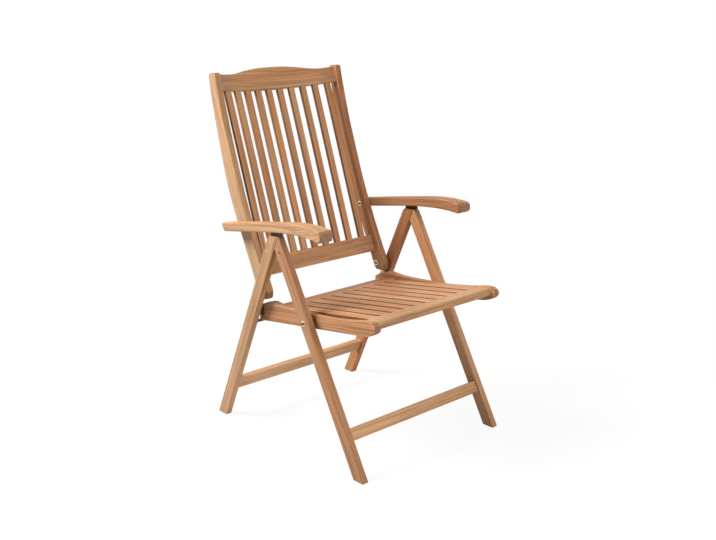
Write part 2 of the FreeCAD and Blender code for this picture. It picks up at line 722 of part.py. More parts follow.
crest_steps = 8
crest_reach = stile_inner_x + 7.0
crest_line = []
for i in range(-crest_steps, crest_steps + 1):
    x = crest_reach * i / crest_steps
    crest_line.append(vec(x, -crest_reach, crest_height(x)))
above_left = vec(crest_reach, -crest_reach, crest_top + crest_rise)
above_right = vec(-crest_reach, -crest_reach, crest_top + crest_rise)
above_crest = Part.Face(Part.Wire([
    free_curve(crest_line), Part.makeLine(crest_line[-1], above_left),
    Part.makeLine(above_left, above_right), Part.makeLine(above_right, crest_line[0]),
])).extrude(vec(0, 2 * crest_reach, 0))
bottom_rail = rounded_back_rail(back_rail(bottom_rail_above_pivot, bottom_rail_top))
top_rail = rounded_back_rail(back_rail(top_rail_low, crest_top + 1).cut(above_crest))
bottom_rail = bottom_rail.fuse(back_tenons(bottom_rail_above_pivot, bottom_rail_top, 0))
top_rail = top_rail.fuse(back_tenons(top_rail_low, top_rail_top, 0))
stile = stile.cut(lean(back_tenons(bottom_rail_above_pivot, bottom_rail_top, joint_gap)))
stile = stile.cut(lean(back_tenons(top_rail_low, top_rail_top, joint_gap)))
add_pair("back_stile", stile)

# Back slats, each with a tongue in both rails
back_slat_pitch = (2 * (stile_inner_x - back_slat_end_gap) - back_slat_width) / (slat_count - 1)


def back_slat(x_mid):
    slat = Part.makeBox(back_slat_width, back_slat_thick, back_slat_length,
                        vec(x_mid - back_slat_width / 2, bow_depth(x_mid), bottom_rail_top))
    return slat.makeFillet(back_slat_round, long_edges(slat, back_slat_length - 1))


def back_tongue(x_mid, grow):
    half = back_slat_width / 2 - back_tongue_shoulder + grow
    reach = back_tongue_length + grow
    y0 = bow_depth(x_mid) + (back_slat_thick - back_tongue_thick) / 2 - grow
    return Part.makeBox(2 * half, back_tongue_thick + 2 * grow, back_slat_length + 2 * reach,
                        vec(x_mid - half, y0, bottom_rail_top - reach))


for i in range(slat_count):
    x_mid = (i - (slat_count - 1) / 2) * back_slat_pitch
    parts["back_slat_%d" % (i + 1)] = lean(back_slat(x_mid).fuse(back_tongue(x_mid, 0)))
    bottom_rail = bottom_rail.cut(back_tongue(x_mid, joint_gap))
    top_rail = top_rail.cut(back_tongue(x_mid, joint_gap))
parts["back_bottom_rail"] = lean(bottom_rail)
parts["back_top_rail"] = lean(top_rail)


# A quarter turn of the plan at a tip corner, from the arm's side round to its front
def tip_corner(side_x, front_y, floor_z, inward, radius):
    slack = radius * (1 - math.sqrt(0.5))
    return Part.Arc(vec(side_x, front_y + radius, floor_z), vec(side_x + inward * slack, front_y + slack, floor_z),
                    vec(side_x + inward * radius, front_y, floor_z)).toShape()


# Arms: the side outline cut to the plan outline, which flares towards the tip
arm_low = around(arm_pivot_y, arm_pivot_z, [
    (46.0, -18.8), (-32.5, -8.0), (-174.5, 12.0), (-290.5, 24.5), (-370.5, 27.0), (-428.5, 23.0)])
arm_tip = around(arm_pivot_y, arm_pivot_z, [(-442.5, 39.5)])[0]
arm_high = around(arm_pivot_y, arm_pivot_z, [
    (-429.5, 56.0), (-356.5, 61.0), (-245.5, 50.5), (-102.5, 30.5), (60.0, 6.2)])
arm_heel = around(arm_pivot_y, arm_pivot_z, [(57.0, -8.5)])[0]
arm_side = side_solid([
    side_curve(arm_inner_x, arm_low),
    arc(arm_inner_x, arm_low[-1], arm_tip, arm_high[0]),
    side_curve(arm_inner_x, arm_high),
    arc(arm_inner_x, arm_high[-1], arm_heel, arm_low[0]),
], arm_width + 2 * arm_flare)
plan_floor = arm_low[0][1] - arm_width
plan_rear_y = arm_pivot_y + 2 * arm_width
plan_tip_y = arm_tip[0] - arm_edge_round
tip_outer_x = arm_outer_x + arm_flare
flare = [(0.0, 321.0), (0.05, 161.0), (0.4, 79.0), (0.8, 31.0)]
plan_outer = [vec(arm_outer_x, plan_rear_y, plan_floor)]
for share, behind_tip in flare:
    plan_outer.append(vec(arm_outer_x + arm_flare * share, arm_tip[0] + behind_tip, plan_floor))
plan_outer.append(vec(tip_outer_x, plan_tip_y + arm_tip_outer_round, plan_floor))
tip_inner = vec(arm_inner_x, plan_tip_y + arm_tip_inner_round, plan_floor)
rear_inner = vec(arm_inner_x, plan_rear_y, plan_floor)
arm_plan = Part.Face(Part.Wire([
    free_curve(plan_outer, vec(0, -1, 0), vec(0, -1, 0)),
    tip_corner(tip_outer_x, plan_tip_y, plan_floor, -1, arm_tip_outer_round),
    Part.makeLine(vec(tip_outer_x - arm_tip_outer_round, plan_tip_y, plan_floor),
                  vec(arm_inner_x + arm_tip_inner_round, plan_tip_y, plan_floor)),
    tip_corner(arm_inner_x, plan_tip_y, plan_floor, 1, arm_tip_inner_round),
    Part.makeLine(tip_inner, rear_inner), Part.makeLine(rear_inner, plan_outer[0]),
])).extrude(vec(0, 0, 4 * arm_width))
arm = arm_side.common(arm_plan)
round_edges = []
for edge in arm.Edges:
    box = edge.BoundBox
    if box.ZLength < arm_width / 2 or max(box.XLength, box.YLength) > 1:
        round_edges.append(edge)
arm = arm.makeFillet(arm_edge_round, round_edges)


# The groove's ceiling over the latch pin, with a notch for each position of the back
def latch_ceiling(y):
    return tongue_top_z + latch_pin_radius + pin_gap + arm_latch_slope * (y - latch_pin_y)


groove_x0 = plate_x - arm_groove_half_width
groove_x1 = plate_x + arm_groove_half_width
groove_front_y = latch_pin_y - arm_groove_ahead
groove_rear_y = latch_pin_y + arm_groove_behind
groove_low_z = tongue_top_z - arm_groove_depth_room
arm = arm.cut(side_polygon(groove_x0, groove_x1, [
    (groove_front_y, groove_low_z), (groove_rear_y, groove_low_z),
    (groove_rear_y, latch_ceiling(groove_rear_y)), (groove_front_y, latch_ceiling(groove_front_y)),
]))
for i in range(notch_count):
    y = latch_pin_y - i * notch_pitch
    arm = bore(arm, latch_pin_radius + pin_gap, groove_x0, groove_x1, y, latch_ceiling(y))
arm = bore(arm, bolt_radius + run_gap, arm_inner_x - 1, arm_bolt_x1 + move_gap, arm_pivot_y, arm_pivot_z)
add_pair("arm", arm)

# Centre the whole chair on the origin and write one file per node
box = FreeCAD.BoundBox()
for shape in parts.values():
    box.add(shape.optimalBoundingBox(False, False))
centre_shift = -(box.YMin + box.YMax) / 2
for name, shape in parts.items():
    shape.translate(vec(0, centre_shift, 0))
    shape.exportStep("parts/%s.step" % name)
pivots = {"leg": (hinge_y, hinge_z), "seat": (seat_pivot_y, seat_pivot_z), "back": (back_pivot_y, back_pivot_z),
          "arm": (arm_pivot_y, arm_pivot_z)}
for name, (y, z) in pivots.items():
    print(name, "pivot", round(y + centre_shift, 4), round(z, 4))
print("nodes", len(parts), "height", round(box.ZMax, 2), "depth", round(box.YMax - box.YMin, 2))
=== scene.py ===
import math
import random

import bpy
from mathutils import Matrix, Vector


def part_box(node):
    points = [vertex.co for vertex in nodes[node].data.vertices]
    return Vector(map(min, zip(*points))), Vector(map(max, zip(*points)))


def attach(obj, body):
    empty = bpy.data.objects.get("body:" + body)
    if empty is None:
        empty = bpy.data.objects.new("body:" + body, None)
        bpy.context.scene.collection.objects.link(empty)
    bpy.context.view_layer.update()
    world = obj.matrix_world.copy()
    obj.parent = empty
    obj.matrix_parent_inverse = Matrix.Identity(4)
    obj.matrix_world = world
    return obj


# Folding high-back teak armchair. Metres, +Z up, the sitter faces -Y, +X is the sitter's left.

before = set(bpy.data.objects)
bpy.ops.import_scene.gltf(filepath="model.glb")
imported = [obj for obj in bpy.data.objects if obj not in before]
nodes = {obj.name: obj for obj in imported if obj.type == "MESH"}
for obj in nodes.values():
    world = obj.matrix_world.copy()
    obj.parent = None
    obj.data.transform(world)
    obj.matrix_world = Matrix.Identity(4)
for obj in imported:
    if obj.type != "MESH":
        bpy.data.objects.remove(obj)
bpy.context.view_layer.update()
scene = bpy.context.scene

# Directions of the grain: across the chair, and up or along each leg, the seat, the back and the arms
ACROSS = Vector((1.0, 0.0, 0.0))
ALONG = Vector((0.0, 1.0, 0.0))
UP_FRONT_LEG = Vector((0.0, 0.5385, 1.0)).normalized()
UP_REAR_LEG = Vector((0.0, -0.487, 1.0)).normalized()
ALONG_SEAT = Vector((0.0, 1.0, -0.1334)).normalized()
UP_BACK = Vector((0.0, 0.3231, 1.0)).normalized()
UP_STILE = Vector((0.0, 0.36, 1.0)).normalized()
ALONG_ARM = Vector((0.0, 1.0, -0.11)).normalized()

# The two rails of the back are cut to one bow: which way its middle stands back from its ends, and its radius
BOW_WAY = Vector((0.0, UP_BACK.z, -UP_BACK.y))
BOW_RADIUS = 0.682

# Teak, from the pale sapwood side of the board to its dark growth lines, whose colour also paints the shade
# on slat flanks and in the crease at the cut ends
TEAK_PALE = (0.620, 0.385, 0.225)
TEAK_MID = (0.495, 0.268, 0.134)
TEAK_DEEP = (0.330, 0.152, 0.066)
TEAK_LINE_AND_SHADE = (0.190, 0.078, 0.032)
TEAK_END = (0.215, 0.108, 0.064)
TEAK_END_PALE = (0.375, 0.215, 0.140)
TEAK_SHADES = ((0.05, TEAK_DEEP), (0.50, TEAK_MID), (0.95, TEAK_PALE))

# Heartwood is redder than the board's own colour, sapwood a little greyer
HEARTWOOD = (1.04, 0.95, 0.84)
SAPWOOD = (0.98, 1.02, 1.05)

# The figure of the wood, drawn out along the grain: repeats to a metre along and across it, detail, roughness
FIGURE = {
    "bands": (1.5, 42.0, 2.0, 0.50),
    "streaks": (2.6, 210.0, 4.0, 0.62),
    "fibre": (14.0, 900.0, 3.0, 0.65),
    "pores": (60.0, 2300.0, 1.0, 0.40),
    "patches": (2.4, 13.0, 2.0, 0.50),
    "heart": (1.3, 110.0, 3.0, 0.60),
    "flecks": (26.0, 170.0, 1.0, 0.40),
    "hues": (1.6, 26.0, 2.0, 0.50),
    "mottle": (260.0, 260.0, 3.0, 0.60),
}
SHADE_WEIGHTS = (("streaks", 2.1), ("bands", 1.0), ("patches", 0.7), ("fibre", 0.35))

# Growth rings: their number to a metre, how unevenly they lie, and how far they wander along a board
RINGS_PER_METRE = 260.0
RING_UNEVENNESS = 0.008
RING_WANDER = 0.010
WANDER_SCALE = (2.2, 9.0, 9.0)
UNEVEN_SCALE = 55.0

# Where the heart of the tree lies from a board's middle, and how far a board is sawn off the grain
PITH_ALONG = 2.0
PITH_ASIDE = (0.12, 0.22)
PITH_ABOVE = (0.05, 0.12)
SAWN_OFF_GRAIN = math.radians(0.7)

# How strongly each dark part of the figure shows. The mineral lines show more and wider with a board's streak
LINE_SHARE = 0.22
FLECK_SHARE = 0.55
PORE_SHARE = 0.38
END_LINE_SHARE = 0.45
CUT_END_SHARE = 0.9
# The crease's dark line is painted shade
CREASE_SHADE_SHARE = 0.72
HEART_SHARE, HEART_SHARE_BY_STREAK = 0.30, 0.45

# Where each of them begins and where it shows fully, from 0 to 1
RING_DARKENS, RING_ENDS = (0.40, 0.93), (0.93, 1.0)
HEART_BEGINS, HEART_BEGINS_BY_STREAK = 0.68, -0.08
HEART_FULL, HEART_FULL_BY_STREAK = 0.80, -0.06
FLECK_EDGES = (0.735, 0.80)
PORE_EDGES = (0.60, 0.72)
HUE_EDGES = (0.35, 0.65)
MOTTLE_EDGES = (0.35, 0.65)

# The same for how far a face turns sideways or endways, which places the painted shade on slat flanks and
# along the crease at the cut end, and where the ends have a ragged edge
FLANK_SHADE_EDGES = (0.08, 0.70)
CREASE_SHADE_BEGINS, CREASE_SHADE_ENDS = (0.20, 0.40), (0.50, 0.76)
CUT_END_EDGES = (0.50, 0.72)
END_RAGGEDNESS = 0.36

# The oiled surface: its dullness, and how much its fibre, pores and rings stand up or lie deep
OIL_GLOSS = 0.30
TEAK_DULLNESS, FIBRE_DULLNESS, END_DULLNESS = 0.42, 0.22, 0.15
FIBRE_RELIEF, PORE_RELIEF, LINE_RELIEF = 0.6, -0.7, -0.3
TEAK_RELIEF = (0.35, 0.0006)


# Small helpers for shader and geometry trees
def put(tree, kind, values=(), **settings):
    made = tree.nodes.new(kind)
    for name, value in settings.items():
        setattr(made, name, value)
    for key, value in dict(values).items():
        socket = made.inputs[key]
        if isinstance(value, bpy.types.NodeSocket):
            tree.links.new(value, socket)
        else:
            socket.default_value = value
    return made


def math_of(tree, operation, *values):
    return put(tree, "ShaderNodeMath", dict(enumerate(values)), operation=operation).outputs[0]


def vector_of(tree, operation, *values):
    made = put(tree, "ShaderNodeVectorMath", dict(enumerate(values)), operation=operation)
    return made.outputs["Value" if operation in ("DOT_PRODUCT", "LENGTH") else "Vector"]


def combine_of(tree, x, y, z):
    return put(tree, "ShaderNodeCombineXYZ", {0: x, 1: y, 2: z}).outputs[0]


def noise_of(tree, vector, scale, detail=3.0, roughness=0.5, kind="Fac"):
    values = {"Vector": vector, "Scale": scale, "Detail": detail, "Roughness": roughness}
    return put(tree, "ShaderNodeTexNoise", values).outputs[kind]


def range_of(tree, value, low, high, to_low=0.0, to_high=1.0):
    values = {"Value": value, "From Min": low, "From Max": high, "To Min": to_low, "To Max": to_high}
    return put(tree, "ShaderNodeMapRange", values, interpolation_type="SMOOTHSTEP").outputs[0]


def mix_of(tree, factor, first, second, blend="MIX"):
    made = put(tree, "ShaderNodeMix", {0: factor}, data_type="RGBA", blend_type=blend)
    for socket, value in ((6, first), (7, second)):
        if isinstance(value, bpy.types.NodeSocket):
            tree.links.new(value, made.inputs[socket])
        else:
            made.inputs[socket].default_value = (*value, 1.0)
    return made.outputs[2]


def ramp_of(tree, factor, stops):
    made = put(tree, "ShaderNodeValToRGB", {"Fac": factor})
    band = made.color_ramp
    while len(band.elements) < len(stops):
        band.elements.new(0.5)
    for element, (place, colour) in zip(band.elements, stops):
        element.position = place
        element.color = (*colour, 1.0)
    return made.outputs["Color"]


def set_bump(tree, shader, height, strength, distance):
    values = {"Height": height, "Strength": strength, "Distance": distance}
    bump = put(tree, "ShaderNodeBump", values)
    tree.links.new(bump.outputs["Normal"], shader.inputs["Normal"])


def new_material(name):
    material = bpy.data.materials.new(name)
    material.use_nodes = True
    tree = material.node_tree
    tree.nodes.clear()
    shader = put(tree, "ShaderNodeBsdfPrincipled")
    output = put(tree, "ShaderNodeOutputMaterial", {"Surface": shader.outputs["BSDF"]})
    return material, tree, shader, output


# Turns object places into board places: x runs along the grain, y and z across it, from the heart of the
# tree. A bowed board is straightened first
def board_mapping(tree, node, grain, pith, tilt, bowed):
    low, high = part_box(node)
    side = ACROSS if abs(grain.x) < 0.5 else ALONG
    turn = Matrix((grain, side, grain.cross(side)))
    turn = Matrix.Rotation(tilt[0], 3, "Y") @ Matrix.Rotation(tilt[1], 3, "Z") @ turn
    middle = (low + high) / 2
    place = -(turn @ middle) + Vector(pith)
    coordinates = put(tree, "ShaderNodeTexCoord")
    straight = coordinates.outputs["Object"]
    if bowed:
        across = vector_of(tree, "DOT_PRODUCT", straight, tuple(ACROSS))
        depth = math_of(tree, "DIVIDE", math_of(tree, "MULTIPLY", across, across), 2 * BOW_RADIUS)
        shift = vector_of(tree, "MULTIPLY", combine_of(tree, depth, depth, depth), tuple(BOW_WAY))
        straight = vector_of(tree, "ADD", straight, shift)
    values = {"Vector": straight, "Location": place, "Rotation": turn.to_euler("XYZ")}
    board = put(tree, "ShaderNodeMapping", values, vector_type="POINT").outputs["Vector"]
    return board, coordinates.outputs["Normal"]


# How squarely a face looks along a direction, either way: 0 to 1
def facing_along(tree, normal, direction):
    return math_of(tree, "ABSOLUTE", vector_of(tree, "DOT_PRODUCT", normal, tuple(direction)))


# Straight-grained oiled teak. The tone scales the whole board, for the wood's own tone and on shaded pieces
# also as painted shade; the red shifts it, the streak adds dark heart lines, and the two faces of a slat that
# look at its neighbours get painted shade by the flank share
def teak(name, node, grain, tone_and_shade, red, streak, seed, bowed=False, flank_shade=0.0):
    draw = random.Random(seed)
    material, tree, shader, _ = new_material(name)
    along = draw.uniform(-PITH_ALONG, PITH_ALONG)
    aside = draw.uniform(*PITH_ASIDE) * draw.choice((-1, 1))
    pith = (along, aside, draw.uniform(*PITH_ABOVE))
    tilt = [draw.uniform(-SAWN_OFF_GRAIN, SAWN_OFF_GRAIN) for _ in range(2)]
    board, normal = board_mapping(tree, node, grain, pith, tilt, bowed)

    # Slow wander of the growth lines along the board
    wander = noise_of(tree, vector_of(tree, "MULTIPLY", board, WANDER_SCALE), 1.0, 2.0, kind="Color")
    wander = vector_of(tree, "SUBTRACT", wander, (0.5, 0.5, 0.5))
    wander = vector_of(tree, "MULTIPLY", wander, (0.0, RING_WANDER, RING_WANDER))
    board = vector_of(tree, "ADD", board, wander)

    # Growth rings about the heart of the tree, uneven in width: each darkens slowly and ends sharply
    flat = vector_of(tree, "MULTIPLY", board, (0.0, 1.0, 1.0))
    distance = vector_of(tree, "LENGTH", flat)
    uneven = noise_of(tree, flat, UNEVEN_SCALE, 1.0)
    distance = math_of(tree, "MULTIPLY_ADD", uneven, RING_UNEVENNESS, distance)
    ring = math_of(tree, "FRACT", math_of(tree, "MULTIPLY", distance, RINGS_PER_METRE))
    darkening = range_of(tree, ring, *RING_DARKENS)
    ending = range_of(tree, ring, *RING_ENDS, 1.0, 0.0)
    line = math_of(tree, "MULTIPLY", darkening, ending)

    figure = {}
    for part, (lengthways, crossways, detail, roughness) in FIGURE.items():
        drawn_out = vector_of(tree, "MULTIPLY", board, (lengthways, crossways, crossways))
        figure[part] = noise_of(tree, drawn_out, 1.0, detail, roughness)

    # The board's shade, half way where every part of the figure is, and its rings
    shade = 0.5 - sum(weight for part, weight in SHADE_WEIGHTS) / 2
    for part, weight in SHADE_WEIGHTS:
        shade = math_of(tree, "MULTIPLY_ADD", figure[part], weight, shade)
    colour = ramp_of(tree, shade, TEAK_SHADES)
    colour = mix_of(tree, math_of(tree, "MULTIPLY", line, LINE_SHARE), colour, TEAK_LINE_AND_SHADE)

    # Dark mineral lines, few and long, small dark flecks and open pores
    heart_begins = HEART_BEGINS + HEART_BEGINS_BY_STREAK * streak
    heart_full = HEART_FULL + HEART_FULL_BY_STREAK * streak
    heart_share = HEART_SHARE + HEART_SHARE_BY_STREAK * streak
    heart = range_of(tree, figure["heart"], heart_begins, heart_full)
    fleck = range_of(tree, figure["flecks"], *FLECK_EDGES)
    pore = range_of(tree, figure["pores"], *PORE_EDGES)
    for mark, share in ((heart, heart_share), (fleck, FLECK_SHARE), (pore, PORE_SHARE)):
        colour = mix_of(tree, math_of(tree, "MULTIPLY", mark, share), colour, TEAK_LINE_AND_SHADE)

    # Red heartwood against greyer sapwood
    redness = (red, -red, -2 * red)
    hues = []
    for wood in (HEARTWOOD, SAPWOOD):
        hue = tuple(tone_and_shade * (part + more) for part, more in zip(wood, redness))
        hues.append(mix_of(tree, 1.0, colour, hue, "MULTIPLY"))
    colour = mix_of(tree, range_of(tree, figure["hues"], *HUE_EDGES), *hues)
    # Painted shade: the faces of a slat that look at its neighbours darken towards the darkest teak colour
    if flank_shade:
        share = range_of(tree, facing_along(tree, normal, ACROSS), *FLANK_SHADE_EDGES, 0.0, flank_shade)
        colour = mix_of(tree, share, colour, TEAK_LINE_AND_SHADE)

    # Painted shade: a dark line along the crease where the side turns into the cut end. Then a dull, mottled
    # greyish end
    endways = math_of(tree, "SUBTRACT", facing_along(tree, normal, grain), END_RAGGEDNESS / 2)
    ragged = math_of(tree, "MULTIPLY_ADD", figure["mottle"], END_RAGGEDNESS, endways)
    cut_end = range_of(tree, ragged, *CUT_END_EDGES)
    crease_shade_begins = range_of(tree, ragged, *CREASE_SHADE_BEGINS)
    crease_shade_ends = range_of(tree, ragged, *CREASE_SHADE_ENDS, 1.0, 0.0)
    crease_shade = math_of(tree, "MULTIPLY", crease_shade_begins, crease_shade_ends)
    end_colour = mix_of(tree, range_of(tree, figure["mottle"], *MOTTLE_EDGES), TEAK_END, TEAK_END_PALE)
    end_colour = mix_of(tree, math_of(tree, "MULTIPLY", line, END_LINE_SHARE), end_colour, TEAK_LINE_AND_SHADE)
    colour = mix_of(tree, math_of(tree, "MULTIPLY", cut_end, CUT_END_SHARE), colour, end_colour)
    colour = mix_of(tree, math_of(tree, "MULTIPLY", crease_shade, CREASE_SHADE_SHARE), colour, TEAK_LINE_AND_SHADE)
    tree.links.new(colour, shader.inputs["Base Color"])

    # Oiled, so half dull, and duller on the ends
    dullness = math_of(tree, "MULTIPLY_ADD", figure["fibre"], FIBRE_DULLNESS, TEAK_DULLNESS)
    dullness = math_of(tree, "MULTIPLY_ADD", cut_end, END_DULLNESS, dullness)
    tree.links.new(dullness, shader.inputs["Roughness"])
    shader.inputs["Specular IOR Level"].default_value = OIL_GLOSS
    relief = math_of(tree, "MULTIPLY", figure["fibre"], FIBRE_RELIEF)
    relief = math_of(tree, "MULTIPLY_ADD", pore, PORE_RELIEF, relief)
    relief = math_of(tree, "MULTIPLY_ADD", line, LINE_RELIEF, relief)
    set_bump(tree, shader, relief, *TEAK_RELIEF)
    return material


# Weathered steel: stained darker in spots, and finely scratched
STAIN_SCALE = 140.0
STAIN_EDGES = (0.35, 0.7)
STAIN_SHADE = 0.6
SCRATCH_SCALE = (2600.0, 900.0, 900.0)
SCRATCH_RELIEF = (0.2, 0.0002)


def steel(name, colour, roughness, brushed, metallic=1.0):
    material, tree, shader, _ = new_material(name)
    place = put(tree, "ShaderNodeTexCoord").outputs["Object"]
    scratches = noise_of(tree, vector_of(tree, "MULTIPLY", place, SCRATCH_SCALE), 1.0, 3.0, 0.6)
    stain = noise_of(tree, place, STAIN_SCALE, 3.0, 0.6)
    dark = tuple(part * STAIN_SHADE for part in colour)
    tint = mix_of(tree, range_of(tree, stain, *STAIN_EDGES), colour, dark)
    tree.links.new(tint, shader.inputs["Base Color"])
    dullness = math_of(tree, "MULTIPLY_ADD", scratches, brushed, roughness)
    tree.links.new(dullness, shader.inputs["Roughness"])
    shader.inputs["Metallic"].default_value = metallic
    set_bump(tree, shader, scratches, *SCRATCH_RELIEF)
    return material


def dress(node, material):
    for slot in nodes[node].material_slots:
        slot.material = material


# Every wooden piece has its own board: grain, tone, redness and dark streaks. Tone and redness are the wood's
# own, except that the pieces in shade are darker and redder as painted shade
boards = {
    "front_leg_right": (UP_FRONT_LEG, 0.78, 0.06, 1.1),
    "front_leg_left": (UP_FRONT_LEG, 1.06, 0.02, 0.4),
    "rear_leg_right": (UP_REAR_LEG, 1.02, -0.01, 0.4),
    # Darker and redder as painted shade: the back shades this leg
    "rear_leg_left": (UP_REAR_LEG, 0.77, 0.11, 0.6),
    "front_stretcher": (ACROSS, 1.34, -0.02, 0.3),
    "rear_stretcher": (ACROSS, 1.16, -0.02, 0.4),
    "seat_rail_right": (ALONG_SEAT, 0.88, 0.03, 0.6),
    "seat_rail_left": (ALONG_SEAT, 0.88, 0.05, 0.3),
    "seat_front_rail": (ACROSS, 0.97, 0.00, 0.9),
    "seat_rear_rail": (ACROSS, 0.96, 0.04, 0.2),
    "back_stile_right": (UP_STILE, 0.92, -0.02, 0.3),
    # Darker and redder as painted shade on its inner face
    "back_stile_left": (UP_STILE, 0.66, 0.11, 0.7),
    "back_top_rail": (ACROSS, 1.08, 0.00, 1.1),
    "back_bottom_rail": (ACROSS, 1.00, 0.01, 1.2),
    "arm_right": (ALONG_ARM, 1.03, -0.02, 0.4),
    # Darker as painted shade from the back
    "arm_left": (ALONG_ARM, 0.75, 0.06, 0.5),
    "leg_screw_plugs": (UP_REAR_LEG, 1.14, 0.00, 0.1),
}
BOWED = ("back_top_rail", "back_bottom_rail")

# The slats differ a little in tone, the back's the other way from the seat's. Each kind has its grain, tone,
# way of the difference, redness, and how much painted shade darkens its flanks
SLAT_SHIFTS = (0.05, -0.06, 0.07, 0.00, -0.08, 0.04, -0.02, 0.09, -0.04, 0.03)
SLAT_STREAK = 0.35
SLATS = (
    ("seat", ALONG_SEAT, 0.95, 1, 0.04, 0.95),
    ("back", UP_BACK, 1.05, -1, 0.02, 0.80),
)
flank_shades = {}
for i, shift in enumerate(SLAT_SHIFTS):
    for kind, grain, level, way, red, flank_shade in SLATS:
        node = "%s_slat_%d" % (kind, i + 1)
        boards[node] = (grain, level + way * shift, red, SLAT_STREAK)
        flank_shades[node] = flank_shade

FIRST_SEED = 31
for seed, (node, (grain, tone_and_shade, red, streak)) in enumerate(boards.items(), FIRST_SEED):
    finish = teak("teak_" + node, node, grain, tone_and_shade, red, streak, seed, node in BOWED, flank_shades.get(node, 0.0))
    dress(node, finish)

pale_steel = steel("pale_washer_steel", (1.00, 0.88, 0.66), 0.28, 0.15)
strap_steel = steel("strap_steel", (0.80, 0.63, 0.38), 0.45, 0.25, 0.35)
bolt_steel = steel("bolt_steel", (0.17, 0.12, 0.085), 0.40, 0.25)
# Dark brown steel whose colour is painted shade, set to the deep shade under the arms, for the hinge plates
# and the other dark fittings
shade_dark_steel = steel("shade_dark_steel", (0.125, 0.060, 0.028), 0.55, 0.25, 0.2)
FITTINGS = (
    (pale_steel, ("seat_pivot_washers", "back_pivot_washers", "arm_pivot_washers")),
    (strap_steel, ("back_hinge_strap_left",)),
    # The right strap wears the dark steel as painted shade; the left strap has the strap's own finish
    (shade_dark_steel, ("hinge_plate_left", "hinge_plate_right", "back_hinge_strap_right", "back_pivot_bushes",
                   "arm_pivot_bushes", "seat_pivot_spacers")),
    (bolt_steel, ("hinge_plate_screws", "latch_pins", "hinge_pivot_pins", "seat_rest_pins", "strap_screws",
                  "seat_pivot_bolts", "back_pivot_bolts", "arm_pivot_bolts", "seat_pivot_nuts",
                  "back_pivot_nuts")),
)
for finish, fittings in FITTINGS:
    for node in fittings:
        dress(node, finish)

# Domed bolt heads with a hexagon socket. The dome's rings go from its rim to its socket, by share of the
# radius and of the height
HEAD_CORNERS = 24
DOME_RINGS = ((1.00, 0.25), (0.93, 0.55), (0.78, 0.82), (0.62, 0.96), (0.56, 1.00))
HEXAGON = math.pi / 3
WELD = 0.00001
SHARP_EDGE = math.radians(32)


# One head on every point of the mesh that the tree is given, turned by the point's attribute "facing"
def domed_heads_tree(sizes):
    tree = bpy.data.node_groups.new("domed_heads", "GeometryNodeTree")
    tree.interface.new_socket("Points", in_out="INPUT", socket_type="NodeSocketGeometry")
    for size_name in sizes:
        tree.interface.new_socket(size_name, in_out="INPUT", socket_type="NodeSocketFloat")
    tree.interface.new_socket("Finish", in_out="INPUT", socket_type="NodeSocketMaterial")
    tree.interface.new_socket("Heads", in_out="OUTPUT", socket_type="NodeSocketGeometry")
    given = put(tree, "NodeGroupInput").outputs
    place = put(tree, "GeometryNodeInputPosition").outputs[0]
    values = {"Vertices": HEAD_CORNERS, "Radius": given["Radius"]}
    foot = put(tree, "GeometryNodeMeshCircle", values, fill_type="NGON").outputs[0]

    def ring(head, top, rise, scale):
        values = {"Mesh": head, "Offset Scale": rise}
        if top:
            values["Selection"] = top
        made = put(tree, "GeometryNodeExtrudeMesh", values).outputs
        spread = vector_of(tree, "MULTIPLY", place, combine_of(tree, scale, scale, 1.0))
        values = {"Geometry": made["Mesh"], "Selection": made["Top"], "Position": spread}
        return put(tree, "GeometryNodeSetPosition", values).outputs[0], made["Top"]

    # The dome, ring on ring
    head, top, last_width, last_height = foot, None, 1.0, 0.0
    for width, height in DOME_RINGS:
        rise = math_of(tree, "MULTIPLY", given["Height"], height - last_height)
        head, top = ring(head, top, rise, width / last_width)
        last_width, last_height = width, height

    # In to the socket, whose round ring is drawn out to a hexagon, and down
    rim = math_of(tree, "MULTIPLY", given["Radius"], last_width)
    apart = put(tree, "ShaderNodeSeparateXYZ", {0: place}).outputs
    angle = math_of(tree, "WRAP", math_of(tree, "ARCTAN2", apart[1], apart[0]), HEXAGON, 0.0)
    side = math_of(tree, "COSINE", math_of(tree, "SUBTRACT", angle, HEXAGON / 2))
    hexagon = math_of(tree, "DIVIDE", math.cos(HEXAGON / 2), side)
    inwards = math_of(tree, "MULTIPLY", hexagon, math_of(tree, "DIVIDE", given["Socket Radius"], rim))
    head, top = ring(head, top, 0.0, inwards)
    head, top = ring(head, top, math_of(tree, "MULTIPLY", given["Socket Depth"], -1.0), 1.0)

    # Closed underneath, and set on the points
    underside = put(tree, "GeometryNodeFlipFaces", {"Mesh": foot}).outputs[0]
    closed = put(tree, "GeometryNodeJoinGeometry")
    for part in (head, underside):
        tree.links.new(part, closed.inputs[0])
    values = {"Geometry": closed.outputs[0], "Distance": WELD}
    head = put(tree, "GeometryNodeMergeByDistance", values).outputs[0]
    named = put(tree, "GeometryNodeInputNamedAttribute", {"Name": "facing"}, data_type="FLOAT_VECTOR")
    turn = put(tree, "FunctionNodeAlignRotationToVector", {"Vector": named.outputs[0]}, axis="Z").outputs[0]
    values = {"Points": given["Points"], "Instance": head, "Rotation": turn}
    set_out = put(tree, "GeometryNodeInstanceOnPoints", values)
    real = put(tree, "GeometryNodeRealizeInstances", {"Geometry": set_out.outputs[0]}).outputs[0]
    real = put(tree, "GeometryNodeSetMaterial", {"Geometry": real, "Material": given["Finish"]}).outputs[0]
    put(tree, "NodeGroupOutput", {"Heads": real})
    return tree


